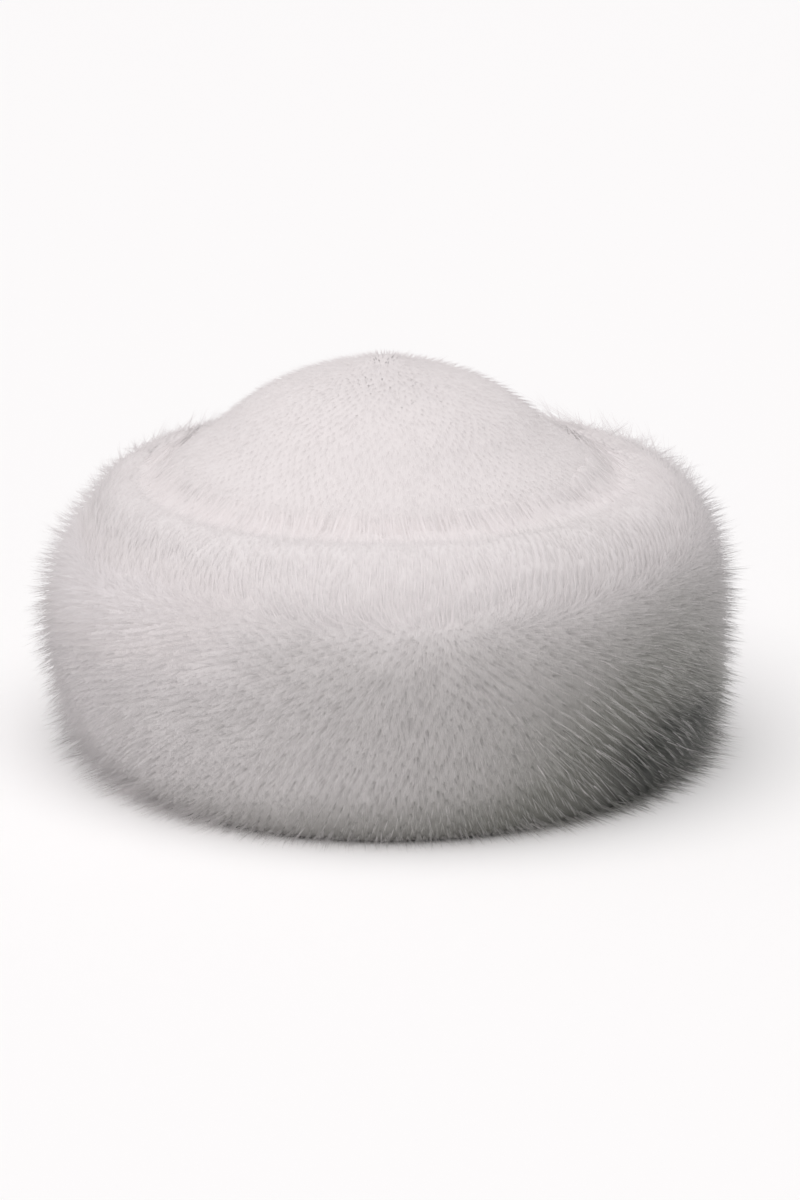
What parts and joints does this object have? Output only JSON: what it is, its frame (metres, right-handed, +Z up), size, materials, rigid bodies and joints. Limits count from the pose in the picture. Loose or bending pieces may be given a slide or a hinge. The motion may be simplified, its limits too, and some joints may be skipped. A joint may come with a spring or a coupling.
{
  "type": "fur roller hat",
  "caption": "Soft fur hat with a domed crown in short pile and a deep, padded cuff of long fur rolled round it; open below for the head.",
  "frame": {"origin": "centre of the hat's footprint, on the surface that it rests on", "axes": "+Z up through the crown, -Y to the front of the hat, +X to the wearer's left"},
  "size_m": [0.3526, 0.393, 0.2013],
  "materials": {
    "crown_fur": "matt short fur, pinkish white",
    "cuff_fur": "matt long fur, pale grey-white"
  },
  "bodies": {
    "root": {"crown": "crown_fur", "cuff": "cuff_fur"}
  },
  "joints": []
}
